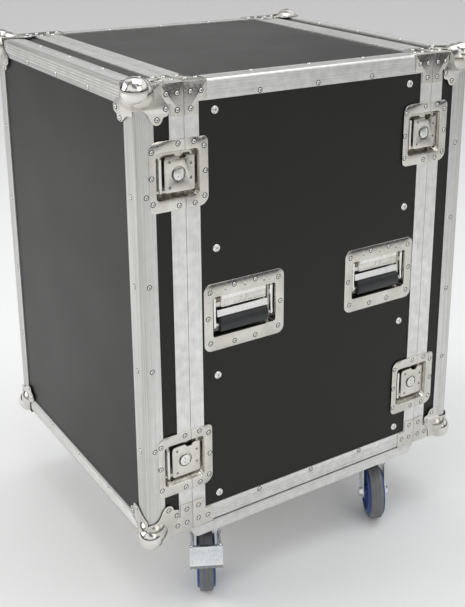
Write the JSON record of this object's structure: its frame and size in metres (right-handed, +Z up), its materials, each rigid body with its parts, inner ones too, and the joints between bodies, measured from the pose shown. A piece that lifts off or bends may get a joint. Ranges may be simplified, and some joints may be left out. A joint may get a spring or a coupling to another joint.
{
  "type": "equipment rack case",
  "caption": "Nineteen-inch equipment rack flight case on swivel castors, with lift-off front and rear lids, recessed butterfly latches and spring handles.",
  "frame": {"origin": "on the floor, under the middle of the case", "axes": "+Z up, -Y out of the front lid, +X out of the side with the right-hand handles"},
  "size_m": [0.6242, 0.6638, 0.9003],
  "materials": {
    "laminate": "black textured phenolic laminate on birch plywood, satin",
    "extrusion": "satin extruded aluminium",
    "plated_steel": "zinc plated pressed steel, satin",
    "rivet_steel": "bright plated",
    "rail_steel": "zinc plated",
    "zinc_steel": "bright blue-white zinc plate",
    "wheel_blue": "blue moulded nylon, semi-gloss",
    "wheel_tread": "grey elastic rubber",
    "grip_rubber": "black moulded rubber on a steel bail"
  },
  "bodies": {
    "case_body": {"side_panel_right": "laminate", "side_panel_left": "laminate", "top_panel": "laminate", "bottom_panel": "laminate", "castor_board": "extrusion", "body_edging": "extrusion", "body_rim_front": "extrusion", "body_rim_rear": "extrusion", "rack_rails": "rail_steel", "body_fasteners": "rivet_steel", "body_braces": "plated_steel", "body_latch_dishes": "plated_steel", "handle_dishes": "plated_steel", "castor_plates": "zinc_steel"},
    "front_lid": {"front_lid_panels": "laminate", "front_lid_edging": "extrusion", "front_lid_rim": "extrusion", "front_lid_corners": "plated_steel", "front_lid_latch_dishes": "plated_steel", "front_lid_rivets": "rivet_steel"},
    "rear_lid": {"rear_lid_panels": "laminate", "rear_lid_edging": "extrusion", "rear_lid_rim": "extrusion", "rear_lid_corners": "plated_steel", "rear_lid_latch_dishes": "plated_steel", "rear_lid_rivets": "rivet_steel"},
    "castor_front_right": {"castor_fork_front_right": "zinc_steel"},
    "wheel_front_right": {"wheel_core_front_right": "wheel_blue", "wheel_tread_front_right": "wheel_tread"},
    "brake_pedal_front_right": {"brake_pedal_front_right": "zinc_steel"},
    "castor_rear_right": {"castor_fork_rear_right": "zinc_steel"},
    "wheel_rear_right": {"wheel_core_rear_right": "wheel_blue", "wheel_tread_rear_right": "wheel_tread"},
    "castor_rear_left": {"castor_fork_rear_left": "zinc_steel"},
    "wheel_rear_left": {"wheel_core_rear_left": "wheel_blue", "wheel_tread_rear_left": "wheel_tread"},
    "castor_front_left": {"castor_fork_front_left": "zinc_steel"},
    "wheel_front_left": {"wheel_core_front_left": "wheel_blue", "wheel_tread_front_left": "wheel_tread"},
    "brake_pedal_front_left": {"brake_pedal_front_left": "zinc_steel"},
    "carry_handle_right_front": {"carry_handle_right_front": "grip_rubber"},
    "carry_handle_right_rear": {"carry_handle_right_rear": "grip_rubber"},
    "carry_handle_left_rear": {"carry_handle_left_rear": "grip_rubber"},
    "carry_handle_left_front": {"carry_handle_left_front": "grip_rubber"},
    "latch_cam_front_right_upper": {"latch_cam_front_right_upper": "plated_steel"},
    "latch_wing_front_right_upper": {"latch_wing_front_right_upper": "plated_steel"},
    "latch_cam_front_right_lower": {"latch_cam_front_right_lower": "plated_steel"},
    "latch_wing_front_right_lower": {"latch_wing_front_right_lower": "plated_steel"},
    "latch_cam_rear_right_upper": {"latch_cam_rear_right_upper": "plated_steel"},
    "latch_wing_rear_right_upper": {"latch_wing_rear_right_upper": "plated_steel"},
    "latch_cam_rear_right_lower": {"latch_cam_rear_right_lower": "plated_steel"},
    "latch_wing_rear_right_lower": {"latch_wing_rear_right_lower": "plated_steel"},
    "latch_cam_rear_left_upper": {"latch_cam_rear_left_upper": "plated_steel"},
    "latch_wing_rear_left_upper": {"latch_wing_rear_left_upper": "plated_steel"},
    "latch_cam_rear_left_lower": {"latch_cam_rear_left_lower": "plated_steel"},
    "latch_wing_rear_left_lower": {"latch_wing_rear_left_lower": "plated_steel"},
    "latch_cam_front_left_upper": {"latch_cam_front_left_upper": "plated_steel"},
    "latch_wing_front_left_upper": {"latch_wing_front_left_upper": "plated_steel"},
    "latch_cam_front_left_lower": {"latch_cam_front_left_lower": "plated_steel"},
    "latch_wing_front_left_lower": {"latch_wing_front_left_lower": "plated_steel"}
  },
  "joints": [
    {"name": "front_lid_lift_off", "type": "slide", "parent": "case_body", "child": "front_lid", "axis": [0, -1, 0], "range_m": [0, 0.25]},
    {"name": "rear_lid_lift_off", "type": "slide", "parent": "case_body", "child": "rear_lid", "axis": [0, 1, 0], "range_m": [0, 0.25]},
    {"name": "castor_swivel_front_right", "type": "hinge", "parent": "case_body", "child": "castor_front_right", "pos_m": [0.219, -0.184, 0.11], "axis": [0, 0, 1], "continuous": true},
    {"name": "wheel_roll_front_right", "type": "hinge", "parent": "castor_front_right", "child": "wheel_front_right", "pos_m": [0.24976, -0.2007, 0.05], "axis": [0.4772, 0.8788, 0], "continuous": true},
    {"name": "brake_press_front_right", "type": "hinge", "parent": "castor_front_right", "child": "brake_pedal_front_right", "pos_m": [0.23482, -0.19259, 0.092], "axis": [0.4772, 0.8788, 0], "range_deg": [0, 7]},
    {"name": "castor_swivel_rear_right", "type": "hinge", "parent": "case_body", "child": "castor_rear_right", "pos_m": [0.219, 0.184, 0.11], "axis": [0, 0, 1], "continuous": true},
    {"name": "wheel_roll_rear_right", "type": "hinge", "parent": "castor_rear_right", "child": "wheel_rear_right", "pos_m": [0.24976, 0.1673, 0.05], "axis": [0.4772, 0.8788, 0], "continuous": true},
    {"name": "castor_swivel_rear_left", "type": "hinge", "parent": "case_body", "child": "castor_rear_left", "pos_m": [-0.219, 0.184, 0.11], "axis": [0, 0, 1], "continuous": true},
    {"name": "wheel_roll_rear_left", "type": "hinge", "parent": "castor_rear_left", "child": "wheel_rear_left", "pos_m": [-0.24976, 0.2007, 0.05], "axis": [-0.4772, -0.8788, 0], "continuous": true},
    {"name": "castor_swivel_front_left", "type": "hinge", "parent": "case_body", "child": "castor_front_left", "pos_m": [-0.219, -0.184, 0.11], "axis": [0, 0, 1], "continuous": true},
    {"name": "wheel_roll_front_left", "type": "hinge", "parent": "castor_front_left", "child": "wheel_front_left", "pos_m": [-0.24976, -0.1673, 0.05], "axis": [-0.4772, -0.8788, 0], "continuous": true},
    {"name": "brake_press_front_left", "type": "hinge", "parent": "castor_front_left", "child": "brake_pedal_front_left", "pos_m": [-0.23482, -0.17541, 0.092], "axis": [-0.4772, -0.8788, 0], "range_deg": [0, 7]},
    {"name": "handle_swing_right_front", "type": "hinge", "parent": "case_body", "child": "carry_handle_right_front", "pos_m": [0.267, -0.1353, 0.5364], "axis": [0, -1, 0], "range_deg": [0, 90], "stiffness_Nm_per_rad": 0.25},
    {"name": "handle_swing_right_rear", "type": "hinge", "parent": "case_body", "child": "carry_handle_right_rear", "pos_m": [0.267, 0.1393, 0.5364], "axis": [0, -1, 0], "range_deg": [0, 90], "stiffness_Nm_per_rad": 0.25},
    {"name": "handle_swing_left_rear", "type": "hinge", "parent": "case_body", "child": "carry_handle_left_rear", "pos_m": [-0.267, 0.1353, 0.5364], "axis": [0, 1, 0], "range_deg": [0, 90], "stiffness_Nm_per_rad": 0.25},
    {"name": "handle_swing_left_front", "type": "hinge", "parent": "case_body", "child": "carry_handle_left_front", "pos_m": [-0.267, -0.1393, 0.5364], "axis": [0, 1, 0], "range_deg": [0, 90], "stiffness_Nm_per_rad": 0.25},
    {"name": "latch_turn_front_right_upper", "type": "hinge", "parent": "front_lid", "child": "latch_cam_front_right_upper", "pos_m": [0.269, -0.2468, 0.751], "axis": [1, 0, 0], "range_deg": [0, 180]},
    {"name": "latch_flip_front_right_upper", "type": "hinge", "parent": "latch_cam_front_right_upper", "child": "latch_wing_front_right_upper", "pos_m": [0.272, -0.2413, 0.751], "axis": [0, 0, 1], "range_deg": [0, 90]},
    {"name": "latch_turn_front_right_lower", "type": "hinge", "parent": "front_lid", "child": "latch_cam_front_right_lower", "pos_m": [0.269, -0.2468, 0.274], "axis": [1, 0, 0], "range_deg": [0, 180]},
    {"name": "latch_flip_front_right_lower", "type": "hinge", "parent": "latch_cam_front_right_lower", "child": "latch_wing_front_right_lower", "pos_m": [0.272, -0.2413, 0.274], "axis": [0, 0, 1], "range_deg": [0, 90]},
    {"name": "latch_turn_rear_right_upper", "type": "hinge", "parent": "case_body", "child": "latch_cam_rear_right_upper", "pos_m": [0.269, 0.2298, 0.751], "axis": [1, 0, 0], "range_deg": [0, 180]},
    {"name": "latch_flip_rear_right_upper", "type": "hinge", "parent": "latch_cam_rear_right_upper", "child": "latch_wing_rear_right_upper", "pos_m": [0.272, 0.2353, 0.751], "axis": [0, 0, 1], "range_deg": [0, 90]},
    {"name": "latch_turn_rear_right_lower", "type": "hinge", "parent": "case_body", "child": "latch_cam_rear_right_lower", "pos_m": [0.269, 0.2298, 0.274], "axis": [1, 0, 0], "range_deg": [0, 180]},
    {"name": "latch_flip_rear_right_lower", "type": "hinge", "parent": "latch_cam_rear_right_lower", "child": "latch_wing_rear_right_lower", "pos_m": [0.272, 0.2353, 0.274], "axis": [0, 0, 1], "range_deg": [0, 90]},
    {"name": "latch_turn_rear_left_upper", "type": "hinge", "parent": "rear_lid", "child": "latch_cam_rear_left_upper", "pos_m": [-0.269, 0.2468, 0.751], "axis": [-1, 0, 0], "range_deg": [0, 180]},
    {"name": "latch_flip_rear_left_upper", "type": "hinge", "parent": "latch_cam_rear_left_upper", "child": "latch_wing_rear_left_upper", "pos_m": [-0.272, 0.2413, 0.751], "axis": [0, 0, 1], "range_deg": [0, 90]},
    {"name": "latch_turn_rear_left_lower", "type": "hinge", "parent": "rear_lid", "child": "latch_cam_rear_left_lower", "pos_m": [-0.269, 0.2468, 0.274], "axis": [-1, 0, 0], "range_deg": [0, 180]},
    {"name": "latch_flip_rear_left_lower", "type": "hinge", "parent": "latch_cam_rear_left_lower", "child": "latch_wing_rear_left_lower", "pos_m": [-0.272, 0.2413, 0.274], "axis": [0, 0, 1], "range_deg": [0, 90]},
    {"name": "latch_turn_front_left_upper", "type": "hinge", "parent": "case_body", "child": "latch_cam_front_left_upper", "pos_m": [-0.269, -0.2298, 0.751], "axis": [-1, 0, 0], "range_deg": [0, 180]},
    {"name": "latch_flip_front_left_upper", "type": "hinge", "parent": "latch_cam_front_left_upper", "child": "latch_wing_front_left_upper", "pos_m": [-0.272, -0.2353, 0.751], "axis": [0, 0, 1], "range_deg": [0, 90]},
    {"name": "latch_turn_front_left_lower", "type": "hinge", "parent": "case_body", "child": "latch_cam_front_left_lower", "pos_m": [-0.269, -0.2298, 0.274], "axis": [-1, 0, 0], "range_deg": [0, 180]},
    {"name": "latch_flip_front_left_lower", "type": "hinge", "parent": "latch_cam_front_left_lower", "child": "latch_wing_front_left_lower", "pos_m": [-0.272, -0.2353, 0.274], "axis": [0, 0, 1], "range_deg": [0, 90]}
  ]
}
